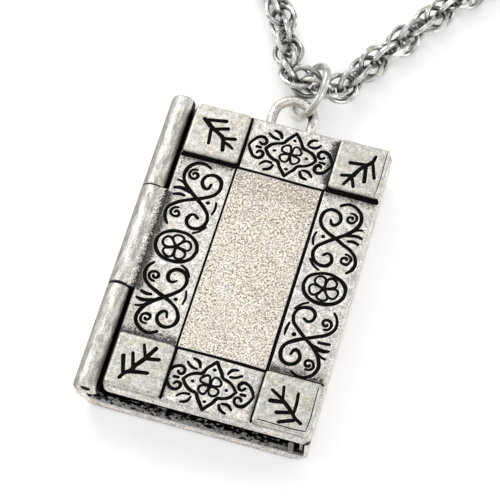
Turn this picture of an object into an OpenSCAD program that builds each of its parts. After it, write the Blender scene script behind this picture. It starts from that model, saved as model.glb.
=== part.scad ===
// Book-shaped locket on a loose rope chain, lying face up with the chain laid round in one loop.
// The origin is in the middle of the locket's back, on the surface that it lies on.
// +X points to the opening side, +Y to the bail and +Z out of the front cover.

/* [Locket] */
// Width of the covers, without the hinge barrel
cover_w = 19.7; // [19.4:0.1:19.8]
// Height of the covers
cover_h = 31.2; // [31:0.1:31.4]
// Thickness of the closed locket, without the corner plates
locket_t = 5.3; // [5.2:0.05:5.4]
// Thickness of the front cover
front_t = 1.3; // [1.1:0.05:1.4]
// Thickness of the back cover and of the spine that it curves into
back_t = 1.1; // [1:0.05:1.2]
// Thickness of the wall along the opening side
side_wall = 0.4; // [0.35:0.05:0.5]
// Thickness of the end wall that carries the bail
end_wall = 0.8; // [0.6:0.1:1]
// Outer radius of the curve from the back to the spine
spine_bend = 2.6; // [2.4:0.1:2.6]
// Outer radius of the back's corner on the opening side
side_bend = 1.7; // [1.2:0.1:1.8]

/* [Hinge] */
// Diameter of the hinge barrel
barrel_d = 2.4; // [2.3:0.05:2.45]
// Length of the whole barrel
barrel_len = 32.1; // [31.9:0.1:32.3]
// Length of the middle knuckle, which belongs to the front cover
knuckle_len = 10.8; // [10.5:0.1:11]
// Gap between one knuckle and the next
knuckle_gap = 0.1; // [0.08:0.01:0.15]
// Gap between the barrel and the front cover
barrel_gap = 0.25; // [0.25:0.05:0.35]
// Diameter of the hinge pin
pin_d = 0.9; // [0.8:0.05:1]
// Clearance round the pin, on the radius
pin_play = 0.03; // [0.02:0.01:0.05]

/* [Ornament] */
// Side of each raised corner plate
plate_w = 5.35; // [5:0.05:5.4]
// Height of the corner plates above the cover
plate_t = 0.4; // [0.3:0.05:0.5]
// Rim of the cover that shows outside the corner plates
plate_inset = 0.2; // [0.15:0.05:0.25]
// Width of the engraved line round the middle panel
panel_line = 0.22; // [0.15:0.01:0.3]
// Width of the sprigs' strokes
sprig_line = 0.42; // [0.35:0.01:0.5]
// Depth of the engraving
engrave_t = 0.18; // [0.1:0.01:0.22]

/* [Bail and ring] */
// Outer width of the bail
bail_w = 5; // [4.9:0.1:5.1]
// Thickness of the bail's wire
bail_wire = 1; // [0.95:0.05:1.05]
// Outer diameter of the jump ring
ring_d = 6.5; // [6.4:0.05:6.6]
// Thickness of the jump ring's wire
ring_wire = 0.8; // [0.75:0.05:0.85]
// Lean of the jump ring from upright, in degrees
ring_lean = 30; // [28:1:31]
// Turn of the jump ring about the upright, in degrees
ring_turn = 2; // [1:1:3]

/* [Chain] */
// Diameter of the chain over its links
chain_d = 3.3; // [3.1:0.05:3.35]
// Diameter of the clasp
clasp_d = 4; // [3.6:0.1:4]
// Length of the clasp's barrel
clasp_len = 11; // [10:0.5:11]

/* [Hidden] */
$fn = 72;

cover_x = cover_w / 2;
cover_y = cover_h / 2;
seat_gap = 0.05;
front_z = locket_t - front_t;
rim_z = front_z - seat_gap;

barrel_r = barrel_d / 2;
barrel_x = -cover_x - barrel_gap - barrel_r;
barrel_z = rim_z;
barrel_low = 0.25 - barrel_len / 2;
barrel_high = 0.25 + barrel_len / 2;
knuckle_low = 0.35 - knuckle_len / 2;
knuckle_high = 0.35 + knuckle_len / 2;
bore_r = pin_d / 2 + pin_play;
spine_x = barrel_x - barrel_r;
sweep_gap = 0.12;

lip_t = 0.3;
lip_z = 2;
lip_gap = 0.2;
rib_t = 0.45;
rib_x = cover_x - 1.9;
rib_z = 3.5;

corner_r = 0.6;
plate_x = cover_x - plate_inset - plate_w;
plate_y = cover_y - plate_inset - plate_w;

bail_x = -0.75;
bail_y = 18.05;
bail_z = 2.6;
bail_r = (bail_w - bail_wire) / 2;

ring_r = (ring_d - ring_wire) / 2;
ring_at = [0.12, 21.32, ring_r * cos(ring_lean) + ring_wire / 2 + 0.03];
ring_slit = 1.5;

clasp_at = [0.75, 203, 2];
eye_wire = 0.8;
eye_d = 3.3;
eye_x = clasp_len / 2 + eye_d / 2 - eye_wire / 2;

// Middle line of the chain, from one eye of the clasp through the jump ring to the other
route = [
    [-7.9, 203, 2], [-13, 202.4, 1.8], [-23, 199, 1.7], [-39, 189, 1.7], [-52, 173, 1.7], [-59, 152, 1.7],
    [-59.5, 129, 1.7], [-54, 106, 1.7], [-44, 85, 1.7], [-31.5, 65, 1.7], [-18.5, 47.5, 1.7],
    [-9.5, 36.5, 1.7], [-5.2, 30, 1.7], [-3.45, 26.45, 1.8], [-2.85, 23.8, 2.45], [-1.45, 22.4, 3.25],
    [1.3, 21.9, 2.75], [2.5, 22.35, 2.7], [3.85, 24.05, 2.2], [4.6, 26.15, 1.8], [6.8, 29.6, 1.7],
    [11, 36, 1.7], [20, 48, 1.7], [33, 65, 1.7], [45.5, 85, 1.7], [55.5, 106, 1.7], [61, 129, 1.7],
    [60.5, 152, 1.7], [53.5, 173, 1.7], [40.5, 189, 1.7], [24.5, 199, 1.7], [14.5, 202.4, 1.8],
    [9.4, 203, 2]
];
route_steps = 2;
tube_sides = 8;

// Outline in X and Z of all that the back encloses: rounded at the spine and at the opening side
module back_outline(top) {
    bend_x = spine_x + spine_bend;
    corner_x = cover_x - side_bend;
    translate([bend_x, spine_bend]) circle(r = spine_bend);
    translate([corner_x, side_bend]) circle(r = side_bend);
    translate([bend_x, 0]) square([corner_x - bend_x, top]);
    translate([spine_x, spine_bend]) square([spine_bend, top - spine_bend]);
    translate([corner_x - side_bend, side_bend]) square([2 * side_bend, top - side_bend]);
}

// Outline in X and Z of the space between the covers
module hollow_outline() {
    bend_x = spine_x + spine_bend;
    inner_bend = spine_bend - back_t;
    wall_x = cover_x - side_wall;
    corner_r2 = 0.5;
    translate([bend_x, spine_bend]) circle(r = inner_bend);
    translate([wall_x - corner_r2, back_t + corner_r2]) circle(r = corner_r2);
    translate([bend_x, back_t]) square([wall_x - corner_r2 - bend_x, locket_t]);
    translate([bend_x - inner_bend, spine_bend]) square([inner_bend, locket_t]);
    translate([wall_x - 2 * corner_r2, back_t + corner_r2]) square([2 * corner_r2, locket_t]);
}

// Stands an X-Z outline up and draws it out along Y, from low to high
module along_y(low, high) {
    translate([0, high, 0]) rotate([90, 0, 0]) linear_extrude(high - low) children();
}

// Cylinder round the hinge axis, from low to high along Y
module hinge_round(r, low, high) {
    translate([barrel_x, high, barrel_z]) rotate([90, 0, 0]) cylinder(r = r, h = high - low);
}

// Half ring on two straight legs, cast on to the end wall
module bail() {
    leg_foot = cover_y - end_wall / 2;
    translate([bail_x, bail_y, bail_z]) rotate_extrude(angle = 180)
        translate([bail_r, 0]) circle(d = bail_wire, $fn = 36);
    for (side = [-1, 1]) translate([bail_x + side * bail_r, bail_y, bail_z])
        rotate([90, 0, 0]) cylinder(d = bail_wire, h = bail_y - leg_foot, $fn = 36);
}

module back_cover() color([0.74, 0.72, 0.67]) difference() {
    union() {
        difference() {
            along_y(-cover_y, cover_y) back_outline(rim_z);
            along_y(-cover_y - 1, cover_y + 1) hollow_outline();
            hinge_round(barrel_r + sweep_gap, knuckle_low - knuckle_gap, knuckle_high + knuckle_gap);
        }
        // End wall under the bail, and the rib that the front cover's lip snaps over
        translate([barrel_x, cover_y - end_wall, back_t / 2])
            cube([cover_x - side_wall / 2 - barrel_x, end_wall, rim_z - back_t / 2]);
        translate([rib_x, -cover_y, back_t / 2]) cube([rib_t, cover_h - end_wall / 2, rib_z - back_t / 2]);
        bail();
        hinge_round(barrel_r, barrel_low, knuckle_low - knuckle_gap);
        hinge_round(barrel_r, knuckle_high + knuckle_gap, barrel_high);
    }
    hinge_round(bore_r, -barrel_len, barrel_len);
}

// Flat cover outline with round corners
module cover_outline() {
    for (x = [-1, 1], y = [-1, 1]) translate([x * (cover_x - corner_r), y * (cover_y - corner_r)])
        circle(r = corner_r);
    square([cover_w, cover_h - 2 * corner_r], center = true);
    square([cover_w - 2 * corner_r, cover_h], center = true);
}

// One straight stroke with a round tip, cut from the point [x, y] towards an angle
module stroke(x, y, angle, length) {
    translate([x, y, -engrave_t]) rotate([0, 0, angle]) {
        translate([0, -sprig_line / 2, 0]) cube([length, sprig_line, 1]);
        translate([length, 0, 0]) cylinder(d = sprig_line, h = 1, $fn = 24);
    }
}

// Sprig that grows from a plate's outer corner towards the panel, with a twig to each side at every node
module sprig() {
    stroke(0.95, 0.95, 45, 3.6);
    for (twig = [[1.45, 1.55], [2.25, 1.45], [3.05, 1.0]]) {
        stroke(twig[0], twig[0], 0, twig[1]);
        stroke(twig[0], twig[0], 90, twig[1]);
    }
}

module front_cover() color([0.88, 0.86, 0.81]) difference() {
    union() {
        translate([0, 0, front_z]) linear_extrude(front_t) cover_outline();
        for (x = [-1, 1], y = [-1, 1])
            translate([x * (plate_x + plate_w / 2), y * (plate_y + plate_w / 2), locket_t + plate_t / 2])
                cube([plate_w, plate_w, plate_t + 0.2], center = true);
        // Middle knuckle, and the web that joins it to the cover
        hinge_round(barrel_r, knuckle_low, knuckle_high);
        translate([barrel_x + bore_r + 0.2, knuckle_low, front_z + 0.1])
            cube([barrel_gap + barrel_r, knuckle_len, front_t - 0.45]);
        // Lip that closes inside the side wall
        translate([cover_x - side_wall - lip_gap - lip_t, -cover_y + 0.2, lip_z])
            cube([lip_t, cover_h - end_wall - 0.5, front_z - lip_z + 0.3]);
    }
    hinge_round(bore_r, -barrel_len, barrel_len);
    // Engraved line round the middle panel
    translate([0, 0, locket_t - engrave_t]) linear_extrude(1) difference() {
        square([2 * plate_x, 2 * plate_y], center = true);
        square([2 * (plate_x - panel_line), 2 * (plate_y - panel_line)], center = true);
    }
    for (x = [0, 1], y = [0, 1]) mirror([x, 0, 0]) mirror([0, y, 0])
        translate([cover_x - plate_inset, cover_y - plate_inset, locket_t + plate_t + 0.1])
            rotate([0, 0, 180]) sprig();
}

module hinge_pin() color([0.62, 0.61, 0.58])
    hinge_round(pin_d / 2, barrel_low + 0.2, barrel_high - 0.2);

// Round wire ring that is almost closed: the slit is where it was bent open
module jump_ring() color([0.86, 0.85, 0.83])
    translate(ring_at) rotate([0, 90 + ring_lean, ring_turn]) rotate([0, 0, 150])
        rotate_extrude(angle = 360 - ring_slit) translate([ring_r, 0]) circle(d = ring_wire, $fn = 36);

// Point at share t between p1 and p2 of a smooth curve through four neighbouring points
function on_curve(p0, p1, p2, p3, t) =
    0.5 * (2 * p1 + (p2 - p0) * t + (2 * p0 - 5 * p1 + 4 * p2 - p3) * t * t
        + (3 * p1 - p0 - 3 * p2 + p3) * t * t * t);
function route_point(i) = i < 0 ? 2 * route[0] - route[1]
    : i >= len(route) ? 2 * route[len(route) - 1] - route[len(route) - 2] : route[i];
function unit(v) = v / norm(v);

// Closed tube through the points of a path, with flat ends
module tube(path, d, sides) {
    count = len(path);
    ring_points = [for (i = [0 : count - 1])
        let (along = unit(path[min(i + 1, count - 1)] - path[max(i - 1, 0)]),
             side = unit(cross(along, [0, 0, 1])),
             up = cross(side, along))
        for (k = [0 : sides - 1]) path[i] + d / 2 * (cos(k * 360 / sides) * side + sin(k * 360 / sides) * up)];
    walls = [for (i = [0 : count - 2], k = [0 : sides - 1])
        let (next = (k + 1) % sides)
        [i * sides + k, (i + 1) * sides + k, (i + 1) * sides + next, i * sides + next]];
    near_end = [for (k = [0 : sides - 1]) k];
    far_end = [for (k = [sides - 1 : -1 : 0]) (count - 1) * sides + k];
    polyhedron(ring_points, concat(walls, [near_end, far_end]));
}

// The rope chain's outer form: its links fill this round tube
module chain() color([0.80, 0.80, 0.79]) {
    last = len(route) - 1;
    path = [for (i = [0 : last - 1], s = [0 : route_steps - 1])
        on_curve(route_point(i - 1), route[i], route[i + 1], route_point(i + 2), s / route_steps), route[last]];
    tube(path, chain_d, tube_sides);
}

// Plain barrel clasp with an eye at each end
module clasp() color([0.78, 0.78, 0.77]) translate(clasp_at) {
    rotate([0, 90, 0]) cylinder(d = clasp_d, h = clasp_len - 1, center = true);
    rotate([0, 90, 0]) cylinder(d = clasp_d - 0.8, h = clasp_len, center = true);
    for (side = [-1, 1]) translate([side * eye_x, 0, 0])
        rotate_extrude() translate([(eye_d - eye_wire) / 2, 0]) circle(d = eye_wire, $fn = 36);
}

back_cover();
front_cover();
hinge_pin();
jump_ring();
chain();
clasp();
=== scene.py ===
# Book locket on a rope chain: the finish of every surface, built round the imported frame.
# Pieces are modelled with one unit to a millimetre and brought down to metres when they are done.
import math

import bmesh
import bpy
from mathutils import Matrix, Vector, noise


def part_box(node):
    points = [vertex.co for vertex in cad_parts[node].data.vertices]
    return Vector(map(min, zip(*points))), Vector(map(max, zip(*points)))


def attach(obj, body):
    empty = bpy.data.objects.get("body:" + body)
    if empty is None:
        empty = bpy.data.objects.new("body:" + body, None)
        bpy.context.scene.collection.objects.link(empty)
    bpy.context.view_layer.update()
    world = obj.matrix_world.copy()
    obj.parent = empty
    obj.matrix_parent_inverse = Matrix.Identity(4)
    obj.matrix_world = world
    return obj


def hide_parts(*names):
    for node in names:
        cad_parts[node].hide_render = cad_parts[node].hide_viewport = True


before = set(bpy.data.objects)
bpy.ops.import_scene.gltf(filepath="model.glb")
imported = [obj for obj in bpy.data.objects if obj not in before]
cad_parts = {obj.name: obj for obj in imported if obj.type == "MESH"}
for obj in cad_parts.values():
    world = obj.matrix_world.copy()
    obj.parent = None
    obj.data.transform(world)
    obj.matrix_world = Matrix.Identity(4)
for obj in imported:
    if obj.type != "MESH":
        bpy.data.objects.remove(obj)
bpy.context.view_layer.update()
mm = 0.001
close = 0.01  # how near to a plane an edge's middle counts as in it, in millimetres
sliver = 0.001  # edges up to this length are merged after a long cut, in millimetres
smoothAngle = 35


def nodeBox(node):
    low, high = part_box(node)
    return low / mm, high / mm


def pick(*objs):
    if bpy.context.mode != "OBJECT":
        bpy.ops.object.mode_set(mode="OBJECT")
    bpy.ops.object.select_all(action="DESELECT")
    for obj in objs:
        obj.select_set(True)
    bpy.context.view_layer.objects.active = objs[0]


def named(name):
    obj = bpy.context.object
    obj.name = name
    obj.data.name = name
    return obj


def settle(obj):
    pick(obj)
    bpy.ops.object.transform_apply(location=True, rotation=True, scale=True)
    return obj


def block(name, low, high):
    low, high = Vector(low), Vector(high)
    bpy.ops.mesh.primitive_cube_add(size=1, location=(low + high) / 2, scale=high - low)
    return settle(named(name))


def rod(name, radius, middle, length, axis, sides):
    turn = {"X": (0, math.pi / 2, 0), "Y": (math.pi / 2, 0, 0)}[axis]
    bpy.ops.mesh.primitive_cylinder_add(vertices=sides, radius=radius, depth=length,
                                        location=middle, rotation=turn)
    return settle(named(name))


def torus(name, radius, wire, steps, sides, middle):
    bpy.ops.mesh.primitive_torus_add(major_radius=radius, minor_radius=wire, major_segments=steps,
                                     minor_segments=sides, location=middle)
    return settle(named(name))


def editAll(obj):
    # into edit mode, with all of it selected
    pick(obj)
    bpy.ops.object.mode_set(mode="EDIT")
    bpy.ops.mesh.select_all(action="SELECT")


def faceOutwards():
    # out of edit mode, with every face turned outwards
    bpy.ops.mesh.select_all(action="SELECT")
    bpy.ops.mesh.normals_make_consistent(inside=False)
    bpy.ops.object.mode_set(mode="OBJECT")


def chooseEdges(obj, wanted):
    # wanted gets an edge's middle and its direction
    pick(obj)
    bpy.ops.object.mode_set(mode="EDIT")
    bpy.ops.mesh.select_mode(type="EDGE")
    bpy.ops.mesh.select_all(action="DESELECT")
    mesh = bmesh.from_edit_mesh(obj.data)
    for edge in mesh.edges:
        start, end = edge.verts[0].co, edge.verts[1].co
        if wanted((start + end) / 2, (end - start).normalized()):
            edge.select_set(True)
    bmesh.update_edit_mesh(obj.data)


def runs(share):
    # share is an edge's direction along one axis: nearly all of it here, and little of it below
    return abs(share) > 0.9


def crosses(share):
    return abs(share) < 0.5


def roundEdges(obj, width, segments, wanted):
    chooseEdges(obj, wanted)
    bpy.ops.mesh.bevel(offset=width, segments=segments, affect="EDGES")
    bpy.ops.object.mode_set(mode="OBJECT")


def combine(obj, tool, operation, crossing=False):
    # crossing says that the tool crosses itself
    pick(obj)
    modifier = obj.modifiers.new("combine", "BOOLEAN")
    modifier.operation = operation
    modifier.solver = "EXACT"
    modifier.use_self = crossing
    modifier.material_mode = "TRANSFER"
    modifier.object = tool
    bpy.ops.object.modifier_apply(modifier=modifier.name)
    bpy.data.objects.remove(tool, do_unlink=True)


def join(obj, tool, material):
    combine(obj, paint(tool, material), "UNION")


def cut(obj, tool, material, crossing=False):
    combine(obj, paint(tool, material), "DIFFERENCE", crossing)


def dropFolds(obj):
    # a long cut can leave slivers: points on each other, and pairs of faces on the same corners
    editAll(obj)
    bpy.ops.mesh.select_mode(type="FACE")
    bpy.ops.mesh.select_all(action="SELECT")
    bpy.ops.mesh.remove_doubles(threshold=sliver)
    bpy.ops.mesh.dissolve_degenerate(threshold=sliver)
    bpy.ops.mesh.select_all(action="DESELECT")
    mesh = bmesh.from_edit_mesh(obj.data)
    seen = {}
    for face in mesh.faces:
        corners = tuple(sorted(corner.index for corner in face.verts))
        if corners in seen:
            face.select_set(True)
            seen[corners].select_set(True)
        seen[corners] = face
    bmesh.update_edit_mesh(obj.data)
    bpy.ops.mesh.delete(type="FACE")
    bpy.ops.mesh.select_all(action="SELECT")
    bpy.ops.mesh.delete_loose()
    bpy.ops.object.mode_set(mode="OBJECT")


def paint(obj, material):
    obj.data.materials.clear()
    obj.data.materials.append(material)
    return obj


def bringDown(obj, body, slot, *nodes):
    # to metres, shaded, and on to its body in place of its nodes
    pick(obj)
    obj.scale = (mm, mm, mm)
    settle(obj)
    bpy.ops.object.shade_smooth_by_angle(angle=math.radians(smoothAngle))
    # large faces stay flat beside their rounded edges
    flat = obj.modifiers.new("flatFaces", "WEIGHTED_NORMAL")
    flat.keep_sharp = True
    flat.weight = 100
    bpy.ops.object.modifier_apply(modifier=flat.name)
    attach(obj, body)
    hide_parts(*nodes)
    print("made", obj.name, len(obj.data.polygons), "faces")


# Camera where the photograph was taken from, and the floor and sky. The target and distance are
# in millimetres, the sizes in metres.
studio = {
    "target": (-0.545, 1.488, 5.3),
    "distance": 205.1,
    "azimuth": 13.31,
    "elevation": 62.59,
    "roll": 2.74,
    "lens": 157.2,
    "sensor": 36,
    "nearest": 0.01,
    "farthest": 20,
    "floorSize": 4,
    "floorDrop": 0.00005,
    "floorColor": (0.92, 0.92, 0.92, 1),
    "floorGlow": 0.24,
    "skyLow": (0.5, 0.5, 0.51, 1),
    "skyHigh": (1, 1, 1, 1),
    "skyFull": 0.7,
    "skyStrength": 0.8,
}

turn = (Matrix.Rotation(math.radians(studio["azimuth"]), 4, "Z")
        @ Matrix.Rotation(math.radians(90 - studio["elevation"]), 4, "X")
        @ Matrix.Rotation(math.radians(studio["roll"]), 4, "Z"))
stand = Vector(studio["target"]) + turn @ Vector((0, 0, studio["distance"]))
bpy.ops.object.camera_add()
camera = named("photoCamera")
camera.matrix_world = Matrix.Translation(stand * mm) @ turn
camera.data.lens = studio["lens"]
camera.data.sensor_width = studio["sensor"]
camera.data.clip_start = studio["nearest"]
camera.data.clip_end = studio["farthest"]
bpy.context.scene.camera = camera
bpy.context.scene.view_settings.view_transform = "Standard"

# Soft boxes that all face the locket
lamps = {
    "backKey": {"place": (-0.5, 0.6, 0.65), "size": (0.45, 0.35), "watts": 3.1},
    "leftStrip": {"place": (-0.8, -0.05, 0.3), "size": (0.15, 0.6), "watts": 0.7},
    "rightFill": {"place": (0.7, -0.35, 0.6), "size": (0.5, 0.5), "watts": 1.5},
    "backRight": {"place": (0.8, 0.48, 0.36), "size": (0.4, 0.4), "watts": 1.0},
}

for name, lamp in lamps.items():
    place = Vector(lamp["place"])
    bpy.ops.object.light_add(type="AREA", location=place)
    light = named(name)
    light.rotation_euler = (-place).to_track_quat("-Z", "Y").to_euler()
    light.data.shape = "RECTANGLE"
    light.data.size, light.data.size_y = lamp["size"]
    light.data.energy = lamp["watts"]

bpy.ops.mesh.primitive_plane_add(size=studio["floorSize"], location=(0, 0, -studio["floorDrop"]))
floor = named("floor")


def newMaterial(name):
    material = bpy.data.materials.new(name)
    material.use_nodes = True
    return material, material.node_tree


def setShader(tree, values):
    shader = tree.nodes["Principled BSDF"]
    for socket, value in values.items():
        shader.inputs[socket].default_value = value
    return shader


floorPaint, tree = newMaterial("floorPaint")
setShader(tree, {
    "Base Color": studio["floorColor"],
    "Roughness": 0.9,
    "Specular IOR Level": 0.1,
    "Emission Color": (1, 1, 1, 1),
    "Emission Strength": studio["floorGlow"],
})
paint(floor, floorPaint)

sky = bpy.data.worlds.new("studioSky")
bpy.context.scene.world = sky
sky.use_nodes = True
tree = sky.node_tree
direction = tree.nodes.new("ShaderNodeTexCoord")
split = tree.nodes.new("ShaderNodeSeparateXYZ")
fade = tree.nodes.new("ShaderNodeValToRGB")
horizon, zenith = fade.color_ramp.elements
horizon.position, horizon.color = 0.0, studio["skyLow"]
zenith.position, zenith.color = studio["skyFull"], studio["skyHigh"]
tree.links.new(direction.outputs["Generated"], split.inputs[0])
tree.links.new(split.outputs["Z"], fade.inputs[0])
tree.links.new(fade.outputs[0], tree.nodes["Background"].inputs["Color"])
tree.nodes["Background"].inputs["Strength"].default_value = studio["skyStrength"]
print("camera, floor and lights are set")


# Finishes. Every pattern reads Object coordinates, which are metres.
def feed(tree, socket, value):
    # a number, a color or another node's output
    if isinstance(value, (int, float)):
        socket.default_value = value
    elif isinstance(value, tuple):
        socket.default_value = (*value, 1)
    else:
        tree.links.new(value, socket)


def axes(tree, coords):
    split = tree.nodes.new("ShaderNodeSeparateXYZ")
    tree.links.new(coords.outputs["Object"], split.inputs[0])
    return split.outputs


def noiseNode(tree, coords, perMetre, detail, rough, stretch=None):
    source = coords.outputs["Object"]
    if stretch:
        mapping = tree.nodes.new("ShaderNodeMapping")
        mapping.inputs["Scale"].default_value = stretch
        tree.links.new(source, mapping.inputs["Vector"])
        source = mapping.outputs[0]
    node = tree.nodes.new("ShaderNodeTexNoise")
    node.inputs["Scale"].default_value = perMetre
    node.inputs["Detail"].default_value = detail
    node.inputs["Roughness"].default_value = rough
    tree.links.new(source, node.inputs["Vector"])
    return node.outputs["Fac"]


def rampNode(tree, value, low, high, fromValue=0.0, toValue=1.0):
    node = tree.nodes.new("ShaderNodeMapRange")
    node.interpolation_type = "SMOOTHSTEP"
    sockets = ("From Min", "From Max", "To Min", "To Max")
    for socket, number in zip(sockets, (low, high, fromValue, toValue)):
        node.inputs[socket].default_value = number
    tree.links.new(value, node.inputs["Value"])
    return node.outputs["Result"]


def mathNode(tree, operation, first, second):
    node = tree.nodes.new("ShaderNodeMath")
    node.operation = operation
    feed(tree, node.inputs[0], first)
    feed(tree, node.inputs[1], second)
    return node.outputs[0]


def times(tree, first, second):
    return mathNode(tree, "MULTIPLY", first, second)


def most(tree, first, second):
    return mathNode(tree, "MAXIMUM", first, second)


def mixColor(tree, share, first, second, blend="MIX"):
    node = tree.nodes.new("ShaderNodeMix")
    node.data_type = "RGBA"
    node.blend_type = blend
    feed(tree, node.inputs[0], share)
    feed(tree, node.inputs[6], first)
    feed(tree, node.inputs[7], second)
    return node.outputs[2]


def spanNode(tree, value, none, full):
    # 0 at none and 1 at full, both in millimetres
    return rampNode(tree, value, none * mm, full * mm)


def spanMask(axis, none, full):
    # a mask that covers more and more from none to full along one axis
    return lambda tree, coords: spanNode(tree, axes(tree, coords)[axis], none, full)


# Where dirt, painted shade and bare metal lie, in millimetres. Each pair is where there is none
# and
# where it is full. The borders come first: dirt with painted shade at the corner plates' feet,
# beside the middle knuckle and a little along the spine, and painted shade on the cover's side by
# the spine.
dirtAndShade = {
    "stripAlong": (8.0, 10.2),
    "stripAcross": (4.2, 4.5),
    "endAcross": (3.3, 4.6),
    "endAlong": (10.1, 10.4),
    "knuckleAcross": (-8.5, -9.6),
    "knuckleAlong": (5.8, 5.2),
    "spine": (-7.6, -9.6),
    "spineShare": 0.45,
    "share": 0.8,
    "ends": (15.45, 15.1),
    "rightSide": (9.75, 9.45),
    "underside": (4.6, 4.9),
    "leftSide": (-9.7, -9.8),
    "barrelGap": (-10.44, -10.2),
    "lowerJoint": -5.1,
    "fromJoint": (0.24, 0.1),
    "rimAlong": (-14.1, -16.1),
    "rimUp": (2.2, 1.2),
}


# dirt with painted shade: darker at the corner plates' feet, beside the middle knuckle and along
# the spine, and black on the cover's side by the barrel
def feetMask(tree, coords):
    x, y, z = axes(tree, coords)
    acrossX, alongY = mathNode(tree, "ABSOLUTE", x, 0), mathNode(tree, "ABSOLUTE", y, 0)
    strip = times(tree, spanNode(tree, alongY, *dirtAndShade["stripAlong"]),
                  spanNode(tree, acrossX, *dirtAndShade["stripAcross"]))
    end = times(tree, spanNode(tree, acrossX, *dirtAndShade["endAcross"]),
                spanNode(tree, alongY, *dirtAndShade["endAlong"]))
    knuckle = times(tree, spanNode(tree, x, *dirtAndShade["knuckleAcross"]),
                    spanNode(tree, alongY, *dirtAndShade["knuckleAlong"]))
    spine = times(tree, spanNode(tree, x, *dirtAndShade["spine"]), dirtAndShade["spineShare"])
    feet = most(tree, most(tree, most(tree, strip, end), knuckle), spine)
    feet = times(tree, feet, dirtAndShade["share"])
    for value, span in ((alongY, "ends"), (x, "rightSide"), (z, "underside")):
        feet = times(tree, feet, spanNode(tree, value, *dirtAndShade[span]))
    return most(tree, feet, spanNode(tree, x, *dirtAndShade["leftSide"]))


def gapMask(tree, coords):
    # painted shade: blackens the barrel in its gap with the cover, and round the joint above the
    # lower knuckle
    x, y, z = axes(tree, coords)
    joint = mathNode(tree, "ABSOLUTE", mathNode(tree, "ADD", y, -dirtAndShade["lowerJoint"] * mm), 0)
    joint = spanNode(tree, joint, *dirtAndShade["fromJoint"])
    return most(tree, spanNode(tree, x, *dirtAndShade["barrelGap"]), joint)


def rimMask(tree, coords):
    # rough metal where the inside meets the open lower end, painted bright as the light that
    # reaches in there
    x, y, z = axes(tree, coords)
    return times(tree, spanNode(tree, y, *dirtAndShade["rimAlong"]), spanNode(tree, z, *dirtAndShade["rimUp"]))


# What all the silver finishes share; the rest is in each one's own look.
silverBase = {
    "middle": (0.35, 0.65),  # where a noise goes from one end of its range to the other
    "tintPerMetre": 700,
    "patchPerMetre": 420,
    "patchLeast": 0.45,
    "pitSoft": 0.08,
    "shadedSide": (0.5, 0.49, 0.48),
    "maskFoot": (0.01, 0.1),
    "hiddenSamples": 8,
    "wornSamples": 6,
    "wornTurn": (0.995, 0.9),  # cosines of the turn where wear starts and where it is full
    "glossMiddle": (0.3, 0.7),
    "glossSpread": 0.08,
    "patinaGloss": 0.25,
    "bumpHeight": 0.03,
}


def ragged(tree, pattern, amount):
    # a noise that swings about zero
    return times(tree, mathNode(tree, "SUBTRACT", pattern, 0.5), amount)


def tinted(tree, coords, look, pits):
    # blotches, speckled grain, a side painted darker as shade, and a slow change from warm to cool
    base, middle = silverBase, silverBase["middle"]
    stretch, soft, speckle = look.get("stretch"), look["blotchSoft"], look["speckle"]
    blotch = noiseNode(tree, coords, look["blotchPerMetre"], 4, 0.6, stretch)
    shade = rampNode(tree, blotch, 0.5 - soft, 0.5 + soft)
    color = mixColor(tree, shade, look["dark"], look["light"])
    grain = rampNode(tree, pits, *middle, 1 - speckle, 1 + speckle)
    gray = tree.nodes.new("ShaderNodeCombineColor")
    for socket in gray.inputs:
        tree.links.new(grain, socket)
    color = mixColor(tree, 1.0, color, gray.outputs[0], "MULTIPLY")
    if "shadedSide" in look:
        side = spanNode(tree, axes(tree, coords)["X"], *look["shadedSide"])
        shaded = mixColor(tree, 1.0, color, base["shadedSide"], "MULTIPLY")
        color = mixColor(tree, side, color, shaded)
    cast = rampNode(tree, noiseNode(tree, coords, base["tintPerMetre"], 3, 0.6), *middle)
    tint = mixColor(tree, cast, look["warm"], look["cool"])
    return mixColor(tree, 1.0, color, tint, "MULTIPLY")


def pitted(tree, coords, look, pits):
    # how much of each point is a dark pit, more of them in some patches
    base = silverBase
    depth = rampNode(tree, pits, look["pitEdge"], look["pitEdge"] - base["pitSoft"])
    patches = noiseNode(tree, coords, base["patchPerMetre"], 2, 0.5)
    patches = rampNode(tree, patches, *base["middle"], base["patchLeast"], 1.0)
    return times(tree, times(tree, depth, patches), look["pitShare"])


def masked(tree, coords, look, color):
    # dirt, bare metal, painted shade and painted light with a spotted edge, in the places that the
    # look's masks give
    spots = noiseNode(tree, coords, look["spotsPerMetre"], 3, 0.7, look.get("spotStretch"))
    for mask, share, raggedness, maskColor in look["masks"]:
        covered = mask(tree, coords)
        shaken = mathNode(tree, "ADD", covered, ragged(tree, spots, raggedness))
        shaken = rampNode(tree, shaken, *silverBase["middle"], 0.0, share)
        foot = rampNode(tree, covered, *silverBase["maskFoot"])
        color = mixColor(tree, times(tree, shaken, foot), color, maskColor)
    return color


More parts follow.
